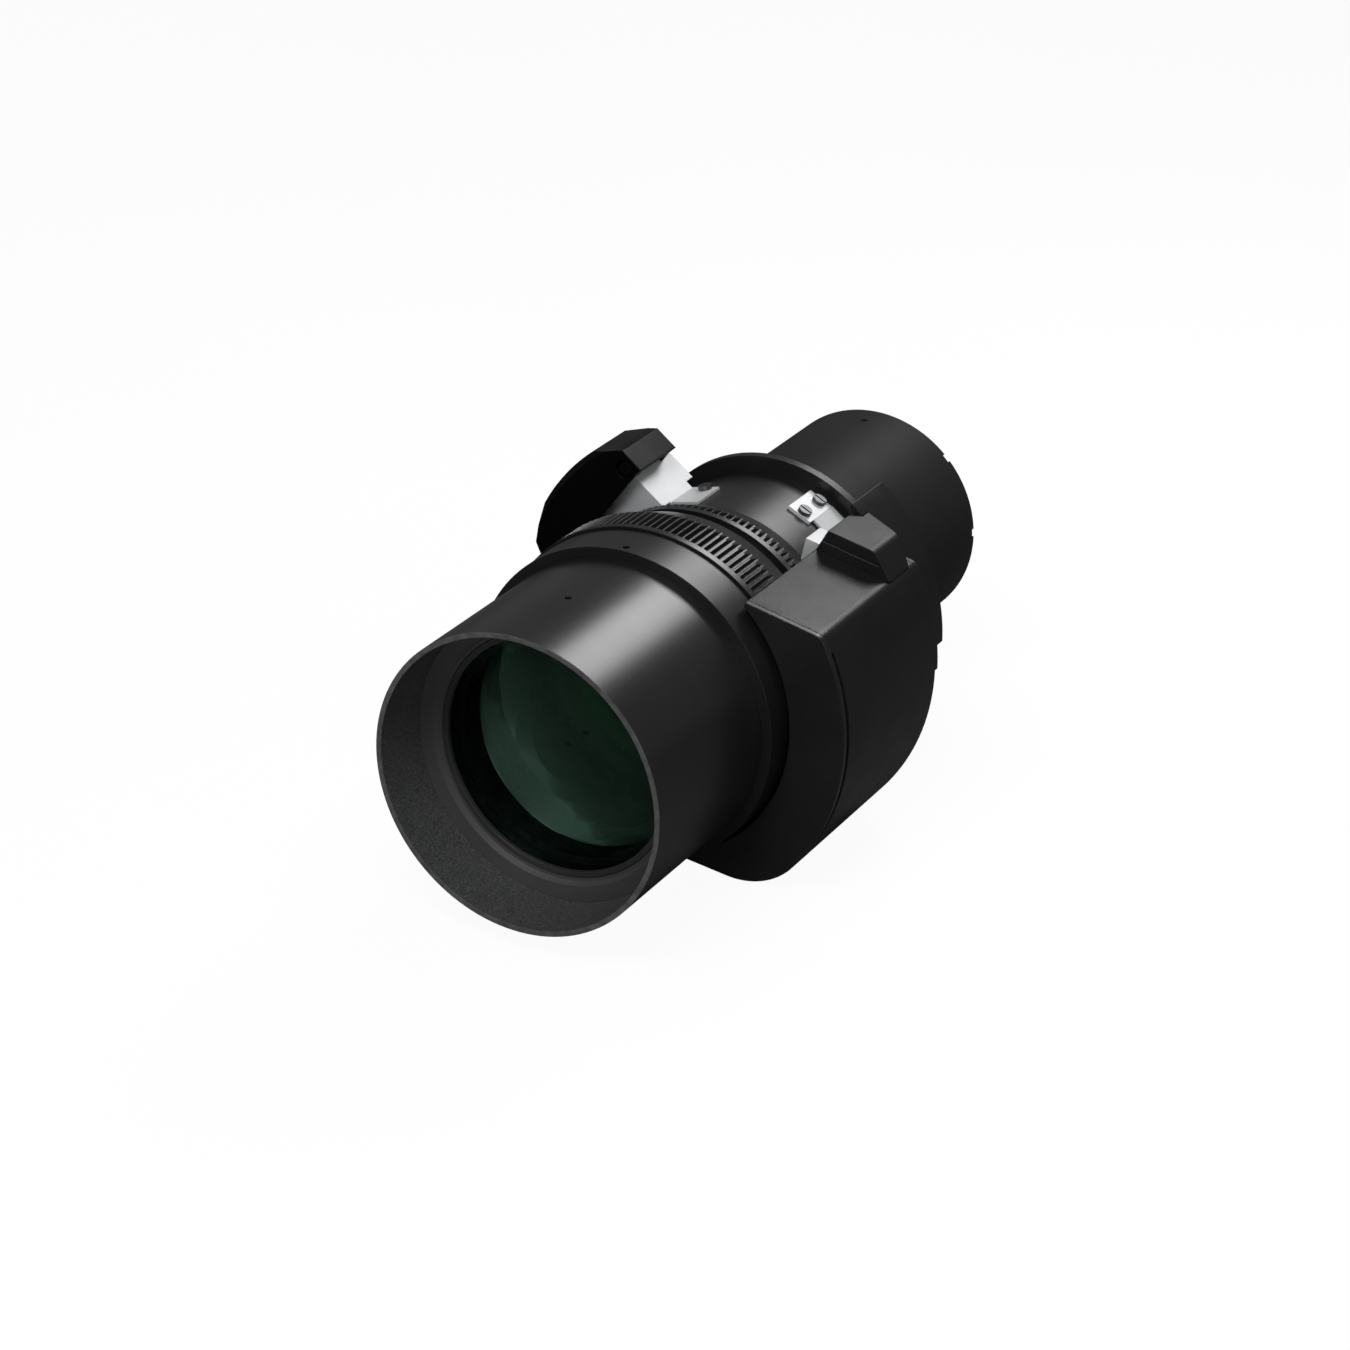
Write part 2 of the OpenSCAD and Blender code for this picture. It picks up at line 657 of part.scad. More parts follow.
// a glass whose faces bulge (sag above zero) or are hollow (sag below zero)
module glass(r, face_r, y0, y1, sag0, sag1) {
    back = face_arc(face_r, -y1, sag1);
    turned($fn = 48) polygon(concat(face_arc(face_r, y0, sag0), [[r, y0], [r, y1]],
        [for (i = [arc_steps : -1 : 0]) [back[i][0], -back[i][1]]]));
}

// tooth spaces of a large ring, as straight-sided cuts
module ring_spaces(n, tip_r, root_r, pitch_r, start_a) {
    root_half = tooth_gap / 2 - (pitch_r - root_r) * tan(press_angle);
    tip_half = tooth_gap / 2 + (tip_r + cut - pitch_r) * tan(press_angle);
    for (k = [0 : n - 1])
        rotate(start_a + k * 360 / n)
            polygon([[root_r, -root_half], [tip_r + cut, -tip_half],
                [tip_r + cut, tip_half], [root_r, root_half]]);
}

// half the angle that a pinion tooth spans at radius r
function tooth_half(n, r) =
    let (pitch = n * tooth_module / 2, base = pitch * cos(press_angle))
    (tooth_thick / 2 / pitch + involute(press_angle) - involute(acos(min(1, base / r)))) * 180 / PI;

module pinion_outline(n, start_a) {
    base = n * tooth_module / 2 * cos(press_angle);
    tip = (n / 2 + 1) * tooth_module;
    root = n * tooth_module / 2 - root_drop;
    steps = [for (i = [0 : 4]) base + (tip - base) * i / 4];
    polygon([for (k = [0 : n - 1]) let (a = start_a + k * 360 / n) each concat(
        [polar(root, a - tooth_half(n, base))],
        [for (i = [0 : 4]) polar(steps[i], a - tooth_half(n, steps[i]))],
        [for (i = [4 : -1 : 0]) polar(steps[i], a + tooth_half(n, steps[i]))],
        [polar(root, a + tooth_half(n, base))])]);
}

module front_hood() {
    color([0.08, 0.08, 0.09]) difference() {
        turned() polygon([[hood_bore_r, y_front], [hood_r, y_front], [hood_r, y_collar],
            [hood_seat_r, y_collar], [hood_seat_r, y_hood_end], [hood_bore_r, y_hood_end]]);
        spoke(set_screw_r + fit, set_screw_a, y_front + hood_screw_at, hood_bore_r - cut, hood_r + cut);
    }
}

module collar() {
    color([0.08, 0.08, 0.09]) difference() {
        union() {
            rod(collar_r, y_collar, y_collar_end);
            rod(guide_r, y_collar - guide_len, y_collar + cut);
        }
        tube(hood_seat_r + fit, guide_r, y_collar - cut, y_hood_end);
        rod(guide_bore_r, y_collar - guide_len - cut, y_collar_end + cut);
        rod(thread_r, y_thread, y_collar_end + cut);
        spoke(set_screw_r + fit, set_screw_a, y_collar + collar_screw_at, hood_seat_r, collar_r + cut);
        for (a = key_angles)
            spoke(pin_r + fit, a, y_key, focus_seat_r, guide_r + cut);
    }
}

module set_screw(y, r0, r1) {
    color([0.3, 0.3, 0.32]) difference() {
        spoke(set_screw_r, set_screw_a, y, r0, r1);
        spoke(set_screw_r / 2, set_screw_a, y, r1 - set_screw_r / 2, r1 + cut);
    }
}

module hood_set_screw() {
    set_screw(y_front + hood_screw_at, cell_r + fit, hood_r - hood_wall / 4);
}

module collar_set_screw() {
    set_screw(y_collar + collar_screw_at, hood_seat_r + fit, collar_r - hood_wall / 2);
}

// pins in the collar that slide in straight slots of the fixed sleeve
module key_pins() {
    color([0.6, 0.6, 0.62]) for (a = key_angles)
        spoke(pin_r, a, y_key, zoom_seat_r + key_rise, guide_r);
}

module front_cell() {
    color([0.1, 0.1, 0.1]) turned() polygon([[cell_face_r, y_cell], [cell_r, y_cell],
        [cell_r, y_cell_end], [cell_open_r, y_cell_end], [cell_open_r, y_second_end],
        [second_r + fit * 4, y_second_end], [second_r + fit * 4, y_glass_end],
        [glass_r + fit * 4, y_glass_end], [glass_r + fit * 4, y_cell_step],
        [cell_step_r, y_cell_step]]);
}

module front_retaining_ring() {
    color([0.12, 0.12, 0.12]) tube(glass_r, glass_open_r, y_cell_step, y_glass);
}

module front_glass() {
    color([0.5, 0.8, 0.8, 0.5])
        glass(glass_r, glass_open_r - cut, y_glass, y_glass_end, glass_sag, -glass_hollow);
}

module second_glass() {
    color([0.5, 0.8, 0.8, 0.5])
        glass(second_r, second_r - second_rim, y_second_end - second_t, y_second_end,
            -second_hollow, -second_back_hollow);
}

module focus_ring() {
    color([0.1, 0.1, 0.1]) difference() {
        turned() polygon([[guide_bore_r, y_focus - focus_sleeve_len],
            [thread_r - screw_clear, y_focus - focus_sleeve_len], [thread_r - screw_clear, y_focus],
            [focus_tip_r, y_focus], [focus_tip_r, y_focus_cone], [focus_end_r, y_focus_end],
            [guide_bore_r, y_focus_end]]);
        slab(y_focus_teeth, y_focus_end + cut)
            ring_spaces(focus_teeth, focus_tip_r, focus_root_r, focus_pitch_r, focus_motor_a);
    }
}

// fixed sleeve that carries the focus ring and guides the collar
module focus_seat() {
    color([0.14, 0.14, 0.15]) difference() {
        union() {
            rod(focus_seat_r, y_seat, y_zoom - ring_gap);
            rod(seat_flange_r, y_focus_end + ring_gap, y_zoom - ring_gap);
        }
        rod(zoom_seat_r + fit, y_seat - cut, y_zoom);
        for (a = key_angles)
            leaf(a, zoom_seat_r - cut, focus_seat_r + cut, -key_w / 2, key_w / 2,
                y_seat - cut, y_key + key_w);
    }
}

module guide_slot(a, y0, y1) {
    spoke(pin_r + screw_clear, a, y0, main_bore_r - cut, zoom_seat_r + cut);
    spoke(pin_r + screw_clear, a, y1, main_bore_r - cut, zoom_seat_r + cut);
    leaf(a, main_bore_r - cut, zoom_seat_r + cut, -pin_r - screw_clear, pin_r + screw_clear, y0, y1);
}

module main_tube() {
    color([0.08, 0.08, 0.09]) difference() {
        union() {
            rod(zoom_seat_r, y_main, y_barrel + cut);
            rod(barrel_r, y_barrel, y_flange);
            leaf(foot_a, main_bore_r + lip / 2, foot_c - sheet_t, foot_s0 + pad_t, foot_s1 - fit,
                y_barrel + ring_gap / 2, -foot_back);
        }
        rod(main_bore_r, y_main - cut, y_flange + cut);
        leaf(pad_a, pad_c - pad_t, pad_c, pad_s0 - cut, pad_s1 + cut,
            -pad_front - cut, -pad_back + cut);
        for (a = variator_angles)
            guide_slot(a, y_variator_pin - variator_fore, y_variator_pin + variator_aft);
        for (a = compensator_angles)
            guide_slot(a, y_compensator_pin - compensator_fore, y_compensator_pin + compensator_aft);
        for (y = pad_screw_y)
            plane_hole(pad_a, main_bore_r, pad_c, pad_screw_s, y, screw_r + fit);
        plane_hole(foot_a, main_bore_r, foot_c, foot_screw_s, foot_screw_y, screw_r + fit);
    }
}

module zoom_ring() {
    color([0.1, 0.1, 0.1]) difference() {
        turned() polygon([[zoom_seat_r + run_fit, y_zoom], [zoom_tip_r, y_zoom],
            [zoom_tip_r, y_zoom_cone], [zoom_end_r, y_zoom_end],
            [zoom_seat_r + run_fit, y_zoom_end]]);
        slab(y_zoom_teeth, y_zoom_end + cut)
            ring_spaces(zoom_teeth, zoom_tip_r, zoom_root_r, zoom_pitch_r, zoom_motor_a);
    }
}

// a sliding cell: plain bore, and a counterbore for the glass at its front
module sliding_cell(y0, y1, glass_seat_r, pins, y_pin) {
    color([0.12, 0.12, 0.12]) difference() {
        rod(inner_cell_r, y0, y1);
        rod(glass_seat_r - lip, y0 - cut, y1 + cut);
        rod(glass_seat_r + fit * 4, y0 - cut, y0 + inner_glass_t + inner_sag);
        for (a = pins)
            spoke(pin_r + fit, a, y_pin, inner_cell_r - lip, inner_cell_r + cut);
    }
}

module cell_pins(pins, y_pin) {
    color([0.6, 0.6, 0.62]) for (a = pins)
        spoke(pin_r, a, y_pin, inner_cell_r - lip, pin_top_r);
}

module variator_cell() {
    sliding_cell(y_variator_end - variator_len, y_variator_end, variator_glass_r,
        variator_angles, y_variator_pin);
}

module variator_glass() {
    y0 = y_variator_end - variator_len + inner_sag;
    color([0.5, 0.8, 0.7, 0.5])
        glass(variator_glass_r, variator_glass_r - lip, y0, y0 + inner_glass_t, -inner_sag, -inner_sag);
}

module variator_pins() {
    cell_pins(variator_angles, y_variator_pin);
}

module compensator_cell() {
    sliding_cell(y_compensator, y_compensator + compensator_len, compensator_glass_r,
        compensator_angles, y_compensator_pin);
}

module compensator_glass() {
    y0 = y_compensator + inner_sag;
    color([0.5, 0.8, 0.7, 0.5])
        glass(compensator_glass_r, compensator_glass_r - lip, y0, y0 + inner_glass_t,
            inner_sag / 2, inner_sag);
}

module compensator_pins() {
    cell_pins(compensator_angles, y_compensator_pin);
}

module aperture_stop() {
    color([0.1, 0.1, 0.1]) tube(main_bore_r - fit, stop_open_r, y_stop, y_stop + stop_t);
}

module mount_flange() {
    color([0.09, 0.09, 0.1]) tube(flange_r, rear_r + screw_clear, y_flange, 0);
}

module rear_barrel() {
    color([0.08, 0.08, 0.09]) difference() {
        union() {
            rod(rear_r, 0, rear_len);
            rod(rear_seat_r, y_flange, cut);
        }
        rod(rear_bore_r, y_flange - cut, rear_len + cut);
        spoke(set_screw_r + fit, set_screw_a, rear_screw_at, rear_bore_r - cut, rear_r + cut);
        for (a = notch_angles)
            leaf(a, rear_bore_r - cut, rear_r + cut, -notch_w / 2, notch_w / 2,
                rear_len - notch_depth, rear_len + cut);
    }
}

module rear_cell() {
    y1 = rear_len - rear_cell_in;
    color([0.1, 0.1, 0.1]) difference() {
        tube(rear_bore_r - fit, rear_glass_r - lip, y1 - rear_cell_len, y1);
        rod(rear_glass_r + fit * 4, y1 - retainer_t - rear_glass_t, y1 + cut);
    }
}

module rear_glass() {
    y1 = rear_len - rear_cell_in - retainer_t;
    color([0.5, 0.8, 0.7, 0.5])
        glass(rear_glass_r, rear_glass_r - lip, y1 - rear_glass_t, y1, inner_sag, inner_sag / 2);
}

module rear_retaining_ring() {
    y1 = rear_len - rear_cell_in;
    color([0.12, 0.12, 0.12]) tube(rear_glass_r, rear_glass_r - lip + cut, y1 - retainer_t, y1);
}

module rear_set_screw() {
    set_screw(rear_screw_at, rear_bore_r, rear_r - hood_wall / 4);
}

// the right cover's outline drawn in by i, as a solid block
module cover_block(i, y0, y1) {
    intersection() {
        rod(cover_r - i, y0, y1);
        slab(y0, y1) polygon([on_plane(facet_a, 0, facet_s + i),
            on_plane(facet_a, facet_c - i, facet_s + i), on_plane(facet_a, facet_c - i, top_corner_s),
            polar(cover_r - i, top_corner_a), polar(far_r, top_corner_a),
            polar(far_r, (top_corner_a + low_corner_a) / 2), polar(far_r, low_corner_a),
            polar(cover_r - i, low_corner_a), on_plane(low_a, low_c - i, low_corner_s),
            on_plane(low_a, low_c - i, low_end_s), on_plane(low_a, 0, low_end_s)]);
    }
    rod_at(top_corner, top_round - i, y0, y1);
    rod_at(low_corner, low_round - i, y0, y1);
}

module cover_ring(i, wall, y0, y1) {
    difference() {
        cover_block(i, y0, y1);
        cover_block(i + wall, y0 - cut, y1 + cut);
    }
}

module sector(a0, a1, y0, y1) {
    slab(y0, y1) polygon([[0, 0], polar(far_r, a0), polar(far_r, (a0 + a1) / 2), polar(far_r, a1)]);
}

module right_cover_plate() {
    color([0.06, 0.06, 0.07]) difference() {
        union() {
            cover_block(0, y_cover, y_shell);
            cover_ring(cover_wall + fit * 2, cover_wall / 2, y_shell - cut, y_groove_end + groove_w);
        }
        rod(cover_bore_r, y_cover - cut, y_groove_end + groove_w + cut);
    }
}

module right_cover_shell() {
    color([0.06, 0.06, 0.07]) difference() {
        union() {
            difference() {
                cover_ring(0, cover_wall, y_shell, y_shell_end);
                rod(cover_bore_r, y_shell - cut, y_shell_end + cut);
            }
            difference() {
                intersection() {
                    cover_block(0, y_shell_end - cover_wall, y_shell_end);
                    sector(low_a, aft_a, y_shell_end - cover_wall, y_shell_end);
                }
                rod(web_bore_r, y_shell_end - cover_wall - cut, y_shell_end + cut);
            }
        }
        intersection() {
            tube(far_r, cover_r - cover_wall, y_shell - cut, y_groove_end);
            sector(groove_from_a, groove_to_a, y_shell - cut, y_groove_end);
        }
        leaf(facet_a, facet_c - cover_wall - cut, facet_c + cut, box_s + cover_wall,
            box_corner_s, y_box + 2 * cover_wall, y_shell_end - 2 * cover_wall);
    }
}

// the raised box's outline drawn in by i, cut off along its slanted rear edge
module box_block(i, y0, back) {
    difference() {
        union() {
            intersection() {
                rod(cover_r - i, y0, -back);
                slab(y0, -back) polygon([on_plane(facet_a, facet_c, facet_s + i),
                    on_plane(facet_a, box_c - i, box_s + i), on_plane(facet_a, box_c - i, box_corner_s),
                    polar(cover_r - i, box_corner_a), polar(far_r, box_corner_a),
                    on_plane(facet_a, facet_c, far_r)]);
            }
            rod_at(box_corner, box_round - i, y0, -back);
        }
        rising(facet_a, facet_c - cut, cover_r)
            polygon([[slanted_y(0) - i, 0], [slanted_y(far_r) - i, -far_r], [far_r, -far_r], [far_r, 0]]);
    }
}

module right_box_cover() {
    color([0.06, 0.06, 0.07]) difference() {
        box_block(0, y_box, box_back);
        difference() {
            box_block(cover_wall, y_box + cover_wall, box_back);
            rod(facet_c, y_box, 0);
        }
        leaf(facet_a, facet_c + 1.8 * cover_wall, facet_c + 2 * cover_wall, 0, box_corner_s + top_round,
            y_box - cut, y_box + cover_wall / 8);
    }
}

module right_aft_cover() {
    color([0.06, 0.06, 0.07]) difference() {
        union() {
            intersection() {
                union() {
                    turned() polygon([[aft_r - cover_wall, y_shell_end], [aft_r, y_shell_end],
                        [aft_r, y_aft_end], [web_bore_r, y_aft_end], [web_bore_r, y_aft_end - cover_wall],
                        [aft_r - cover_wall, y_aft_end - cover_wall]]);
                    difference() {
                        cover_block(fit, y_shell_end + fit, y_shell_end + cover_wall);
                        rod(aft_r - cover_wall / 2, y_shell_end - cut, y_aft_end);
                    }
                }
                slab(y_shell_end - cut, y_aft_end + cut) polygon([[0, 0], polar(far_r, aft_a),
                    polar(far_r, (aft_a + facet_a) / 2), on_plane(facet_a, far_r, rib_s0 + cut),
                    on_plane(facet_a, 0, rib_s0 + cut)]);
            }
            leaf(aft_a, web_bore_r + fit, aft_r - cover_wall / 2, -cover_wall, -fit,
                y_shell_end + fit, y_aft_end - fit);
            rising(facet_a, facet_c - cover_wall, box_c)
                polygon([[slanted_y(rib_s0), -rib_s0], [-rib_end, -rib_s0], [-rib_end, -rib_s1],
                    [slanted_y(rib_s1), -rib_s1]]);
        }
        box_block(0, y_box, box_back);
    }
}

module right_bracket() {
    color([0.85, 0.86, 0.87]) {
        difference() {
            slab(y_web, y_web + sheet_t) polygon([on_plane(facet_a, tip_c - fit, tip_s0),
                on_plane(facet_a, tip_c - fit, tip_s1), on_plane(facet_a, facet_c - web_drop, tip_s1),
                on_plane(facet_a, facet_c - web_drop, box_corner_s + top_round), polar(web_r, web_angles[0]),
                polar(web_r, web_angles[1]), polar(web_r - web_end_in, web_angles[2]),
                polar(web_bore_r - lip, web_angles[2]), on_plane(facet_a, 0, tip_s0)]);
            rod(web_bore_r, y_web - cut, y_web + sheet_t + cut);
            rod_at(polar(zoom_axis_r, zoom_motor_a), motor_r + screw_clear,
                y_web - cut, y_web + 2 * sheet_t);
            rod_at(polar(focus_axis_r, focus_motor_a), motor_r + screw_clear,
                y_web - cut, y_web + 2 * sheet_t);
            motor_screw_places(screw_r + fit, y_web - cut, y_web + sheet_t + cut);
        }
        leaf(facet_a, tip_c - sheet_t, tip_c, tip_s0 + fit, tip_s1 - fit, y_web + fit, y_web + tip_len);
        leaf(rib_plane_a, web_bore_r + screw_clear, web_bore_r + bracket_rib_h,
            bracket_rib_s, bracket_rib_s + sheet_t, y_web, -bracket_rib_back);
        leaf(rib_plane_a, bend_c, web_bore_r + 2 * sheet_t,
            bracket_rib_s, bracket_rib_s + sheet_t, y_barrel + ring_gap, -bracket_rib_back);
        leaf(rib_plane_a, bend_c, pad_c, -bend_half, bracket_rib_s + sheet_t,
            y_barrel + ring_gap, -pad_back + 4 * fit);
        leaf(bend_plane_a, bend_c, pad_c, -pad_s1, bend_half, -pad_front + bend_in, -pad_back + 4 * fit);
        difference() {
            leaf(pad_a, pad_c - pad_t, pad_c, pad_s0, pad_s1, -pad_front, -pad_back);
            for (y = pad_screw_y)
                plane_hole(pad_a, pad_c - 2 * pad_t, pad_c + cut, pad_screw_s, y, screw_r + fit);
        }
    }
}

module right_bracket_screws() {
    color([0.1, 0.1, 0.1]) for (y = pad_screw_y)
        plane_screw(pad_a, pad_c, pad_screw_s, y, screw_len);
}

module motor_screw_places(r, y0, y1) {
    for (side = [-1, 1]) {
        rod_at(on_plane(zoom_motor_a, zoom_axis_r, side * (ear_half - ear_hole_in)), r, y0, y1);
        rod_at(on_plane(focus_motor_a, focus_axis_r, side * (ear_half - ear_hole_in)), r, y0, y1);
    }
}

// a gear motor: body, ears that lie on the bracket's web, and a bore for the pinion's shaft
module motor(a, axis_r, y0, y1) {
    color([0.5, 0.5, 0.52]) difference() {
        union() {
            rod_at(polar(axis_r, a), motor_r, y0, y1);
            rod_at(polar(axis_r, a), motor_r + motor_rim, y_ears, y_web);
            leaf(a, axis_r - ear_w, axis_r + ear_w, -ear_half, ear_half, y_ears + fit, y_web - fit);
            rod_at(polar(axis_r, a), motor_r / 2, y1 - cut, y1 + motor_boss_h);
        }
        rod_at(polar(axis_r, a), shaft_r + run_fit / 2, y0 - cut, y0 + shaft_in + cut);
        motor_screw_places(screw_r + fit, y_ears - cut, y_web + cut);
    }
}

module focus_motor() {
    motor(focus_motor_a, focus_axis_r, y_focus_motor, y_focus_motor + focus_motor_len);
}

module zoom_motor() {
    motor(zoom_motor_a, zoom_axis_r, y_zoom_motor, y_zoom_motor + zoom_motor_len);
}

module motor_screws() {
    color([0.6, 0.6, 0.62]) {
        motor_screw_places(screw_r, y_ears - fit, y_web + sheet_t + motor_screw_past);
        motor_screw_places(motor_screw_head_r, y_ears - sheet_t, y_ears);
    }
}

module pinion(n, a, axis_r, y0, wide, y_end) {
    color([0.75, 0.65, 0.35]) {
        translate([axis_r * cos(a), 0, axis_r * sin(a)]) {
            slab(y0, y0 + wide) pinion_outline(n, a + 180);
            rod(shaft_r, y0 - shaft_past, y_end);
        }
    }
}

module focus_pinion() {
    pinion(focus_pinion_teeth, focus_motor_a, focus_axis_r, y_focus_teeth + ring_gap, focus_pinion_w,
        y_focus_motor + shaft_in);
}

module zoom_pinion() {
    pinion(zoom_pinion_teeth, zoom_motor_a, zoom_axis_r, y_zoom_teeth + ring_gap, zoom_pinion_w,
        y_zoom_motor + shaft_in);
}

module left_outline() {
    polygon(left_outline_shares * left_r);
}

module left_cover() {
    color([0.06, 0.06, 0.07]) difference() {
        union() {
            difference() {
                intersection() {
                    turned() polygon([[0, y_left], [left_r - left_chamfer, y_left],
                        [left_r, y_left + left_chamfer], [left_r, y_left_end], [0, y_left_end]]);
                    slab(y_left, y_left_end) left_outline();
                }
                intersection() {
                    rod(left_r - cover_wall, y_left + cover_wall, y_left_end - cover_wall);
                    slab(y_left + cover_wall, y_left_end - cover_wall) {
                        offset(delta = -cover_wall) left_outline();
                        translate([2 * cover_wall, -2 * cover_wall])
                            offset(delta = -cover_wall) left_outline();
                    }
                }
            }
            rod_at(left_screw, recess_r + boss_wall, y_left, y_left_web);
        }
        rod_at(left_screw, recess_r, y_left - cut, y_left + recess_depth);
        rod_at(left_screw, screw_r + fit, y_left, y_left_web + cut);
        leaf(fin_a, fin_c - sheet_t - screw_clear, fin_c + screw_clear, fin_s0 - screw_clear, fin_s1,
            y_left_end - 2 * cover_wall, y_left_end + cut);
    }
}

module left_cover_screw() {
    y_head = y_left + recess_depth;
    color([0.15, 0.15, 0.15]) difference() {
        union() {
            rod_at(left_screw, screw_head_r, y_head - screw_head_h, y_head);
            rod_at(left_screw, screw_r, y_head - cut, y_left_web + 2 * sheet_t);
        }
        translate([left_screw[0], y_head - screw_head_h, left_screw[1]]) {
            cube([cross_len, screw_head_h, cross_w], center = true);
            cube([cross_w, screw_head_h, cross_len], center = true);
        }
    }
}

module left_bracket() {
    color([0.85, 0.86, 0.87]) difference() {
        union() {
            leaf(foot_a, foot_c - sheet_t, foot_c, foot_s0, foot_s1, y_barrel + ring_gap / 2, -foot_back);
            leaf(fin_a, fin_c - sheet_t, fin_c, fin_s0, fin_s1, y_barrel + ring_gap / 2, -fin_back);
            leaf(fin_a, fin_c - sheet_t, fin_c, fin_s0, fin_s1 - fin_step_w, y_left_web, -fin_back);
            difference() {
                slab(y_left_web, y_left_web + sheet_t) polygon([
                    on_plane(fin_a, fin_c, fin_s1 - fin_web_in), on_plane(fin_a, fin_c, fin_s0),
                    left_screw + polar(screw_eye_r, fin_a - eye_turn),
                    left_screw + polar(screw_eye_r, fin_a),
                    left_screw + polar(screw_eye_r, fin_a + eye_turn),
                    polar(web_bore_r + left_web_h, left_web_angles[1]),
                    polar(web_bore_r + left_web_h, left_web_angles[2]),
                    polar(web_bore_r - lip, left_web_angles[2]),
                    polar(web_bore_r - lip, left_web_angles[0])]);
                rod(web_bore_r, y_left_web - cut, y_left_web + sheet_t + cut);
                rod_at(left_screw, screw_r + fit, y_left_web - cut, y_left_web + sheet_t + cut);
            }
        }
        plane_hole(foot_a, foot_c - 2 * sheet_t, foot_c + cut, foot_screw_s, foot_screw_y, screw_r + fit);
        leaf(fin_a, fin_c - 2 * sheet_t, fin_c + cut, fin_s1 - fin_notch_w, fin_s1 + cut,
            -foot_back, -fin_back + cut);
    }
}

module left_bracket_screw() {
    color([0.1, 0.1, 0.1]) plane_screw(foot_a, foot_c, foot_screw_s, foot_screw_y, screw_len);
}

module sensor_board() {
    color([0.05, 0.3, 0.12])
        leaf(board_a, board_r, board_r + board_h, -board_half, board_half, y_board, y_board + board_t);
}

module board_socket() {
    color([0.9, 0.88, 0.8]) difference() {
        leaf(board_a, socket_r - socket_w, socket_r, -socket_half, socket_half,
            y_board + board_t, y_board + board_t + socket_h);
        leaf(board_a, socket_r - socket_w + socket_wall, socket_r - socket_wall,
            socket_wall - socket_half, socket_half - socket_wall,
            y_board + board_t + socket_wall, y_board + board_t + socket_h + cut);
    }
}

front_hood();
collar();
hood_set_screw();
collar_set_screw();
key_pins();
front_cell();
front_retaining_ring();
front_glass();
second_glass();
focus_ring();
focus_seat();
main_tube();
zoom_ring();
variator_cell();
variator_glass();
variator_pins();
compensator_cell();
compensator_glass();
compensator_pins();
aperture_stop();
mount_flange();
rear_barrel();
rear_cell();
rear_glass();
rear_retaining_ring();
rear_set_screw();
right_cover_plate();
right_cover_shell();
right_box_cover();
right_aft_cover();
right_bracket();
right_bracket_screws();
focus_motor();
zoom_motor();
motor_screws();
focus_pinion();
zoom_pinion();
left_cover();
left_cover_screw();
left_bracket();
left_bracket_screw();
sensor_board();
board_socket();
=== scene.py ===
"""Projection lens: looks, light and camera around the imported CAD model, in metres."""

import bpy
from mathutils import Matrix, Vector


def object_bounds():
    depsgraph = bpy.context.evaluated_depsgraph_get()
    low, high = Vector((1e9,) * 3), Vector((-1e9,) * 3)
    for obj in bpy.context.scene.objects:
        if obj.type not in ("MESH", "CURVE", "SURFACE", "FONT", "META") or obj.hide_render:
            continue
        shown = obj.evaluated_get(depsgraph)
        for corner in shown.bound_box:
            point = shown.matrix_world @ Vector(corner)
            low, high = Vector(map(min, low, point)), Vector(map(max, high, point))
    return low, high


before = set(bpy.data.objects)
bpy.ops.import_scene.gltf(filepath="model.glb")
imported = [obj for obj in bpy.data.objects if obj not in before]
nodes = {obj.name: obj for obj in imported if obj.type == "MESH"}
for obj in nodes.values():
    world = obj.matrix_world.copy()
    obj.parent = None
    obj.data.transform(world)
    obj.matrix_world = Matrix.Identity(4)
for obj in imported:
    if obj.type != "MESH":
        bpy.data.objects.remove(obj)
cad_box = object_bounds()

# The photograph's camera, from the ellipses of the barrels: place and directions in the CAD frame
CAMERA_PLACE = Vector((0.5539, -1.0608, 0.5326))
CAMERA_RIGHT = Vector((0.8726, 0.4885, 0.0))
CAMERA_UP = Vector((-0.2088, 0.3730, 0.9040))
CAMERA_BACK = Vector((0.4416, -0.7888, 0.4275))
FOCAL_MM = 99.66
FILM_MM = 36.0
LENS_MIDDLE = Vector((0.0, -0.05, 0.0))

# Where the front barrel's colour changes: inside this radius to the grainy paint, and ahead of this
# place on the axis to a painted highlight on the rim's front face
HOOD_BORE_R = 0.05025
HOOD_RIM_HIGHLIGHT_Y = -0.17392

# Where on a noise's scale of 0 to 1 a ramp's first colour ends and its second begins
RAMP_STOPS = (0.35, 0.65)

# How far coordinates are drawn out before a noise becomes lines: round the lens axis, and along a sheet
LATHE_STRETCH = (0.01, 1.0, 0.01)
DRAWN_STRETCH = (1.0, 1.0, 14.0)

GLASS_IOR = 1.5

# Floor: its distance under the lowest point, its width, and the share and strength of its white glow
# in the camera's sight; then the strength of the even light all round
FLOOR_GAP = 0.0005
FLOOR_SIZE = 30.0
FLOOR_WHITENESS = 0.86
FLOOR_GLOW = 1.1
WORLD_LEVEL = 0.18

# Lamps: name, offset from the middle of the lens, width and depth in metres, power in watts
SOFTBOXES = [
    ("back_top", (0.06, 0.49, 0.506), 0.30, 0.22, 2.0),
    ("front_top", (0.15, -0.9, 1.25), 0.8, 0.6, 15.0),
    ("right_side", (1.3, 0.35, 0.45), 0.5, 0.9, 0.7),
    ("front_right", (0.85, -1.25, 0.30), 0.6, 0.6, 5.0),
]


def new_material(name):
    """An empty material with one Principled shader."""
    mat = bpy.data.materials.new(name)
    mat.use_nodes = True
    tree = mat.node_tree
    tree.nodes.clear()
    out = tree.nodes.new("ShaderNodeOutputMaterial")
    shader = tree.nodes.new("ShaderNodeBsdfPrincipled")
    tree.links.new(shader.outputs["BSDF"], out.inputs["Surface"])
    return mat, tree, shader


def set_surface(tree, shader_output):
    """Make that shader the material's surface."""
    out = [node for node in tree.nodes if node.type == "OUTPUT_MATERIAL"][0]
    tree.links.new(shader_output, out.inputs["Surface"])


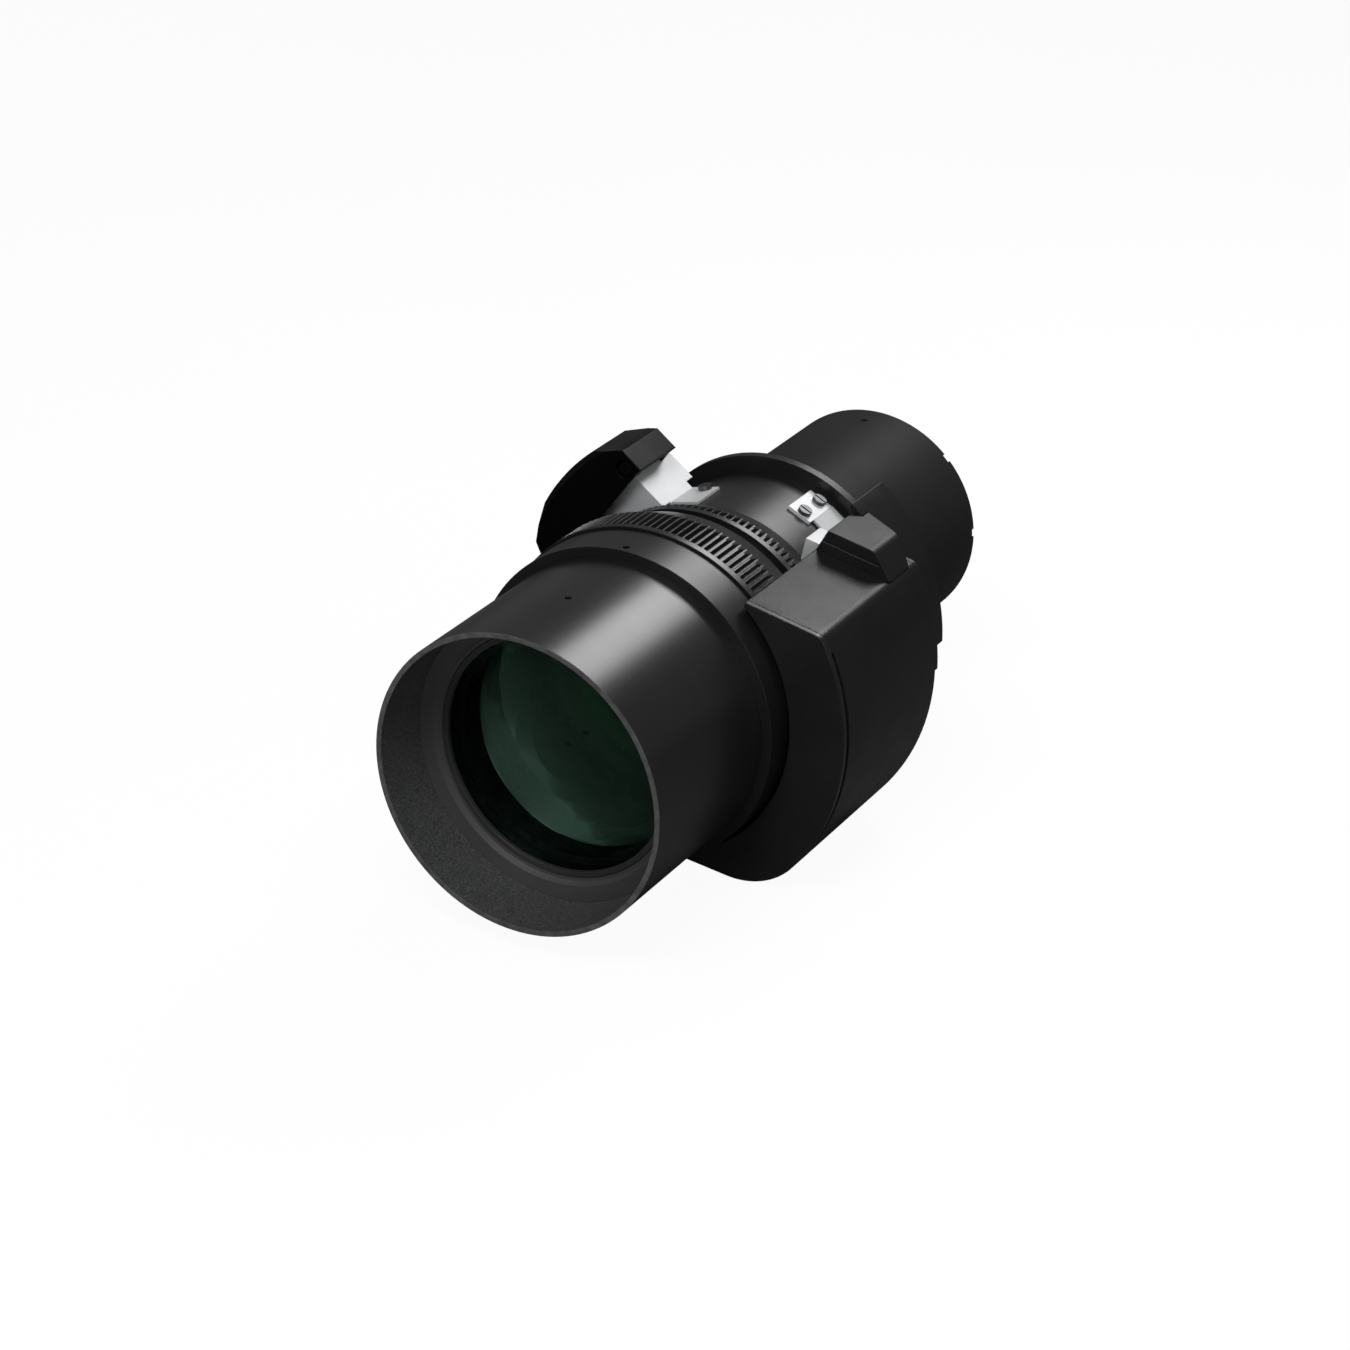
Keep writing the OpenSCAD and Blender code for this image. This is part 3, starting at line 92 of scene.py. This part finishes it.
def object_coords(tree):
    return tree.nodes.new("ShaderNodeTexCoord").outputs["Object"]


def stretched(tree, coords, scale):
    made = tree.nodes.new("ShaderNodeMapping")
    made.inputs["Scale"].default_value = scale
    tree.links.new(coords, made.inputs["Vector"])
    return made.outputs["Vector"]


def noise(tree, coords, scale, detail=3.0):
    made = tree.nodes.new("ShaderNodeTexNoise")
    made.inputs["Scale"].default_value = scale
    made.inputs["Detail"].default_value = detail
    tree.links.new(coords, made.inputs["Vector"])
    return made.outputs["Fac"]


def grey(value):
    return (value, value, value, 1.0)


def shade_of(colour, share):
    """That colour made darker or lighter by a share, with its alpha."""
    return tuple(min(1.0, part * share) for part in colour) + (1.0,)


def ramp(tree, factor, low, high):
    """A colour that runs from low to high with the factor."""
    made = tree.nodes.new("ShaderNodeValToRGB")
    for element, place, colour in zip(made.color_ramp.elements, RAMP_STOPS, (low, high)):
        element.position = place
        element.color = colour if isinstance(colour, tuple) else grey(colour)
    tree.links.new(factor, made.inputs["Fac"])
    return made.outputs["Color"]


def maths(tree, kind, first, second=0.0):
    """One Math node; an input is a socket or a number."""
    made = tree.nodes.new("ShaderNodeMath")
    made.operation = kind
    for slot, value in enumerate((first, second)):
        if isinstance(value, (int, float)):
            made.inputs[slot].default_value = value
        else:
            tree.links.new(value, made.inputs[slot])
    return made.outputs["Value"]


def mixed(tree, factor, first, second):
    """The first colour where the factor is 0 and the second where it is 1."""
    made = tree.nodes.new("ShaderNodeMixRGB")
    tree.links.new(factor, made.inputs["Fac"])
    tree.links.new(first, made.inputs["Color1"])
    tree.links.new(second, made.inputs["Color2"])
    return made.outputs["Color"]


def edge_normal(tree, radius):
    """The surface normal with small rounded edges of that radius."""
    made = tree.nodes.new("ShaderNodeBevel")
    made.samples = 6
    made.inputs["Radius"].default_value = radius
    return made.outputs["Normal"]


def bump(tree, height, strength, distance, normal):
    made = tree.nodes.new("ShaderNodeBump")
    made.inputs["Strength"].default_value = strength
    made.inputs["Distance"].default_value = distance
    tree.links.new(height, made.inputs["Height"])
    tree.links.new(normal, made.inputs["Normal"])
    return made.outputs["Normal"]


def turning_lines(tree, coords):
    """Fine rings round the lens axis, as a lathe leaves them."""
    return noise(tree, stretched(tree, coords, LATHE_STRETCH), scale=2600.0, detail=2.0)


def turned_black(name, dark, light, rough, specular, edge, lines=0.12, grain=0.12):
    """Black anodised metal: slow blotches, fine turning lines round the axis and a fine grain."""
    mat, tree, shader = new_material(name)
    coords = object_coords(tree)
    tree.links.new(ramp(tree, noise(tree, coords, scale=28.0, detail=4.0), dark, light),
                   shader.inputs["Base Color"])
    rings = turning_lines(tree, coords)
    gloss = maths(tree, "ADD", maths(tree, "MULTIPLY", rings, 0.06),
                  maths(tree, "MULTIPLY", noise(tree, coords, scale=90.0, detail=5.0), 0.08))
    tree.links.new(maths(tree, "ADD", gloss, rough - 0.07), shader.inputs["Roughness"])
    shader.inputs["Specular IOR Level"].default_value = specular
    turned = bump(tree, rings, strength=lines, distance=0.00004, normal=edge_normal(tree, edge))
    grains = noise(tree, coords, scale=5200.0, detail=2.0)
    tree.links.new(bump(tree, grains, strength=grain, distance=0.00008, normal=turned),
                   shader.inputs["Normal"])
    return mat


def hood_black(name):
    """The front barrel: satin black outside, grainy dark paint inside, and a painted highlight that
    makes the rim's front face light grey.
    """
    mat, tree, shader = new_material(name)
    coords = object_coords(tree)
    parts = tree.nodes.new("ShaderNodeSeparateXYZ")
    tree.links.new(coords, parts.inputs["Vector"])
    across = maths(tree, "MULTIPLY", parts.outputs["X"], parts.outputs["X"])
    height = maths(tree, "MULTIPLY", parts.outputs["Z"], parts.outputs["Z"])
    inside = maths(tree, "LESS_THAN", maths(tree, "SQRT", maths(tree, "ADD", across, height)),
                   HOOD_BORE_R)
    rim = maths(tree, "LESS_THAN", parts.outputs["Y"], HOOD_RIM_HIGHLIGHT_Y)
    outer = ramp(tree, noise(tree, coords, scale=28.0, detail=4.0), 0.0070, 0.0100)
    paint = ramp(tree, noise(tree, coords, scale=1500.0, detail=4.0), 0.022, 0.070)
    # Painted highlight: the rim's front face is painted light grey, lighter than the black around it
    edge = ramp(tree, noise(tree, coords, scale=300.0, detail=4.0), 0.06, 0.10)
    tree.links.new(mixed(tree, rim, mixed(tree, inside, outer, paint), edge),
                   shader.inputs["Base Color"])
    satin = maths(tree, "ADD", maths(tree, "MULTIPLY", turning_lines(tree, coords), 0.06), 0.27)
    tree.links.new(maths(tree, "ADD", satin, maths(tree, "MULTIPLY", inside, 0.2)),
                   shader.inputs["Roughness"])
    shader.inputs["Specular IOR Level"].default_value = 0.5
    grain = maths(tree, "MULTIPLY", noise(tree, coords, scale=2600.0, detail=3.0),
                  maths(tree, "ADD", maths(tree, "MULTIPLY", inside, 2.4), 0.2))
    tree.links.new(bump(tree, grain, strength=0.4, distance=0.00008,
                        normal=edge_normal(tree, radius=0.0003)), shader.inputs["Normal"])
    return mat


def grained_plastic(name, dark, light, rough, specular, edge, depth=0.3):
    """Moulded black plastic with a fine eroded grain and soft blotches of gloss."""
    mat, tree, shader = new_material(name)
    coords = object_coords(tree)
    tree.links.new(ramp(tree, noise(tree, coords, scale=35.0, detail=4.0), dark, light),
                   shader.inputs["Base Color"])
    tree.links.new(ramp(tree, noise(tree, coords, scale=120.0, detail=5.0), rough - 0.03, rough + 0.04),
                   shader.inputs["Roughness"])
    shader.inputs["Specular IOR Level"].default_value = specular
    cells = tree.nodes.new("ShaderNodeTexVoronoi")
    cells.inputs["Scale"].default_value = 1900.0
    tree.links.new(coords, cells.inputs["Vector"])
    grains = maths(tree, "ADD", cells.outputs["Distance"],
                   noise(tree, coords, scale=3200.0, detail=2.0))
    tree.links.new(bump(tree, grains, strength=depth, distance=0.00006,
                        normal=edge_normal(tree, edge)), shader.inputs["Normal"])
    return mat


def metal(name, colour, rough, metallic=1.0):
    """A bright metal with fine drawn lines."""
    mat, tree, shader = new_material(name)
    coords = object_coords(tree)
    lines = noise(tree, stretched(tree, coords, DRAWN_STRETCH), scale=900.0)
    shader.inputs["Metallic"].default_value = metallic
    low = shade_of(colour, 0.92)
    tree.links.new(ramp(tree, noise(tree, coords, scale=60.0), low, colour + (1.0,)),
                   shader.inputs["Base Color"])
    tree.links.new(ramp(tree, lines, rough - 0.05, rough + 0.08), shader.inputs["Roughness"])
    tree.links.new(bump(tree, lines, strength=0.15, distance=0.00005,
                        normal=edge_normal(tree, radius=0.0002)), shader.inputs["Normal"])
    return mat


def glass(name, tint, coat):
    """Clear coated glass: what lies behind shows through the tint, and the coating colours the gloss."""
    mat, tree, shader = new_material(name)
    coords = object_coords(tree)
    tree.nodes.remove(shader)
    clear = tree.nodes.new("ShaderNodeBsdfTransparent")
    light = shade_of(tint, 1.06)
    tree.links.new(ramp(tree, noise(tree, coords, scale=14.0), tint + (1.0,), light),
                   clear.inputs["Color"])
    gloss = tree.nodes.new("ShaderNodeFresnel")
    gloss.inputs["IOR"].default_value = GLASS_IOR
    mix = tree.nodes.new("ShaderNodeMixShader")
    tree.links.new(gloss.outputs["Fac"], mix.inputs["Fac"])
    tree.links.new(clear.outputs["BSDF"], mix.inputs[1])
    mirror = tree.nodes.new("ShaderNodeBsdfGlossy")
    mirror.inputs["Color"].default_value = coat + (1.0,)
    tree.links.new(ramp(tree, noise(tree, coords, scale=40.0), 0.010, 0.025),
                   mirror.inputs["Roughness"])
    tree.links.new(mirror.outputs["BSDF"], mix.inputs[2])
    set_surface(tree, mix.outputs["Shader"])
    return mat


def plastic(name, colour, rough):
    """A plain coloured plastic or board with a slight mottle."""
    mat, tree, shader = new_material(name)
    coords = object_coords(tree)
    low = shade_of(colour, 0.8)
    tree.links.new(ramp(tree, noise(tree, coords, scale=90.0, detail=4.0), low, colour + (1.0,)),
                   shader.inputs["Base Color"])
    tree.links.new(ramp(tree, noise(tree, coords, scale=200.0), rough - 0.05, rough + 0.05),
                   shader.inputs["Roughness"])
    tree.links.new(bump(tree, noise(tree, coords, scale=2500.0), strength=0.1, distance=0.00005,
                        normal=edge_normal(tree, radius=0.0002)), shader.inputs["Normal"])
    return mat


LOOKS = [
    (hood_black("black_hood"), ["front_hood"]),
    (turned_black("black_anodised", dark=0.0050, light=0.0075, rough=0.36, specular=0.5, edge=0.0003),
     ["collar", "focus_seat", "main_tube", "mount_flange"]),
    (turned_black("rear_anodised", dark=0.0140, light=0.0180, rough=0.50, specular=0.10, edge=0.0003),
     ["rear_barrel"]),
    (turned_black("matt_inside", dark=0.044, light=0.056, rough=0.55, specular=0.3, edge=0.0002,
                  grain=0.3),
     ["front_cell"]),
    (turned_black("cell_black", dark=0.075, light=0.100, rough=0.45, specular=0.4, edge=0.0002,
                  grain=0.3),
     ["rear_cell", "variator_cell", "compensator_cell", "aperture_stop"]),
    (turned_black("retainer_black", dark=0.020, light=0.030, rough=0.35, specular=0.5, edge=0.0003),
     ["front_retaining_ring", "rear_retaining_ring"]),
    (turned_black("ring_black", dark=0.0050, light=0.0075, rough=0.32, specular=0.55, edge=0.0002,
                  lines=0.05, grain=0.2),
     ["focus_ring", "zoom_ring"]),
    (grained_plastic("cover_plastic", dark=0.0075, light=0.0105, rough=0.32, specular=0.22,
                     edge=0.0006),
     ["right_cover_shell", "right_box_cover", "right_aft_cover"]),
    (grained_plastic("plate_plastic", dark=0.0085, light=0.0115, rough=0.30, specular=0.35,
                     edge=0.0006, depth=0.15),
     ["right_cover_plate"]),
    (grained_plastic("left_plastic", dark=0.0010, light=0.0016, rough=0.22, specular=0.06,
                     edge=0.0007, depth=0.15),
     ["left_cover"]),
    (metal("bright_sheet", colour=(0.60, 0.61, 0.62), rough=0.42, metallic=0.30),
     ["right_bracket", "left_bracket"]),
    (metal("ground_steel", colour=(0.62, 0.62, 0.64), rough=0.28),
     ["key_pins", "variator_pins", "compensator_pins", "motor_screws"]),
    (metal("screw_steel", colour=(0.13, 0.13, 0.135), rough=0.34),
     ["right_bracket_screws", "left_bracket_screw"]),
    # Blackened steel, painted nearly black: partly the screws' own colour, partly painted shade that
    # stands in for the dark of their holes
    (metal("blackened_steel_hole_shade", colour=(0.012, 0.012, 0.013), rough=0.5),
     ["hood_set_screw", "collar_set_screw", "rear_set_screw", "left_cover_screw"]),
    (metal("motor_can", colour=(0.55, 0.55, 0.57), rough=0.3), ["focus_motor", "zoom_motor"]),
    (metal("cut_brass", colour=(0.78, 0.62, 0.30), rough=0.3), ["focus_pinion", "zoom_pinion"]),
    (glass("front_glass_coated", tint=(0.84, 0.94, 0.88), coat=(0.27, 0.44, 0.36)), ["front_glass"]),
    (glass("second_glass_coated", tint=(0.62, 0.84, 0.70), coat=(0.24, 0.38, 0.29)), ["second_glass"]),
    (glass("inner_glass_coated", tint=(0.35, 0.50, 0.38), coat=(0.24, 0.40, 0.26)),
     ["variator_glass", "compensator_glass", "rear_glass"]),
    (plastic("green_board", colour=(0.02, 0.16, 0.06), rough=0.35), ["sensor_board"]),
    (plastic("socket_plastic", colour=(0.75, 0.72, 0.62), rough=0.4), ["board_socket"]),
]

for material, names in LOOKS:
    for name in names:
        slots = nodes[name].data.materials
        slots.clear()
        slots.append(material)


def pale_floor(height):
    """A wide pale floor: nearly white to the camera, with the lens's soft shadow on it."""
    bpy.ops.mesh.primitive_plane_add(size=FLOOR_SIZE, location=(0.0, 0.0, height))
    floor = bpy.context.object
    floor.name = "floor"
    mat, tree, shader = new_material("pale_floor")
    path = tree.nodes.new("ShaderNodeLightPath")
    mottle = noise(tree, object_coords(tree), scale=3.0)
    tree.links.new(mixed(tree, path.outputs["Is Camera Ray"], ramp(tree, mottle, 0.11, 0.13),
                         ramp(tree, mottle, 0.38, 0.42)), shader.inputs["Base Color"])
    shader.inputs["Roughness"].default_value = 0.9
    shader.inputs["Specular IOR Level"].default_value = 0.1
    glow = tree.nodes.new("ShaderNodeEmission")
    glow.inputs["Color"].default_value = grey(1.0)
    glow.inputs["Strength"].default_value = FLOOR_GLOW
    mix = tree.nodes.new("ShaderNodeMixShader")
    tree.links.new(maths(tree, "MULTIPLY", path.outputs["Is Camera Ray"], FLOOR_WHITENESS),
                   mix.inputs["Fac"])
    tree.links.new(shader.outputs["BSDF"], mix.inputs[1])
    tree.links.new(glow.outputs["Emission"], mix.inputs[2])
    set_surface(tree, mix.outputs["Shader"])
    floor.data.materials.append(mat)


def softbox(name, offset, width, depth, power):
    """A rectangular lamp at an offset from the lens, turned to face it."""
    light = bpy.data.lights.new(name, "AREA")
    light.shape = "RECTANGLE"
    light.size = width
    light.size_y = depth
    light.energy = power
    lamp = bpy.data.objects.new(name, light)
    lamp.location = LENS_MIDDLE + Vector(offset)
    lamp.rotation_euler = (-Vector(offset)).to_track_quat("-Z", "Y").to_euler()
    lamp.visible_camera = False
    bpy.context.scene.collection.objects.link(lamp)


def studio_world():
    """Even light all round, and a white backdrop for what the camera sees."""
    world = bpy.data.worlds.new("studio")
    bpy.context.scene.world = world
    world.use_nodes = True
    tree = world.node_tree
    tree.nodes.clear()
    out = tree.nodes.new("ShaderNodeOutputWorld")
    mix = tree.nodes.new("ShaderNodeMixShader")
    path = tree.nodes.new("ShaderNodeLightPath")
    tree.links.new(path.outputs["Is Camera Ray"], mix.inputs["Fac"])
    for slot, strength in ((1, WORLD_LEVEL), (2, 1.0)):
        sky = tree.nodes.new("ShaderNodeBackground")
        sky.inputs["Color"].default_value = grey(1.0)
        sky.inputs["Strength"].default_value = strength
        tree.links.new(sky.outputs["Background"], mix.inputs[slot])
    tree.links.new(mix.outputs["Shader"], out.inputs["Surface"])


def photo_camera():
    """The camera at the photograph's place, turn and field of view."""
    data = bpy.data.cameras.new("photo_camera")
    data.sensor_fit = "HORIZONTAL"
    data.sensor_width = FILM_MM
    data.lens = FOCAL_MM
    data.clip_start = 0.01
    data.clip_end = 60.0
    camera = bpy.data.objects.new("photo_camera", data)
    turn = Matrix((CAMERA_RIGHT, CAMERA_UP, CAMERA_BACK)).transposed()
    camera.matrix_world = Matrix.Translation(CAMERA_PLACE) @ turn.to_4x4()
    bpy.context.scene.collection.objects.link(camera)
    bpy.context.scene.camera = camera


bpy.context.scene.view_settings.view_transform = "Standard"
pale_floor(cad_box[0][2] - FLOOR_GAP)
studio_world()
for lamp_name, offset, width, depth, power in SOFTBOXES:
    softbox(lamp_name, offset, width, depth, power)
photo_camera()
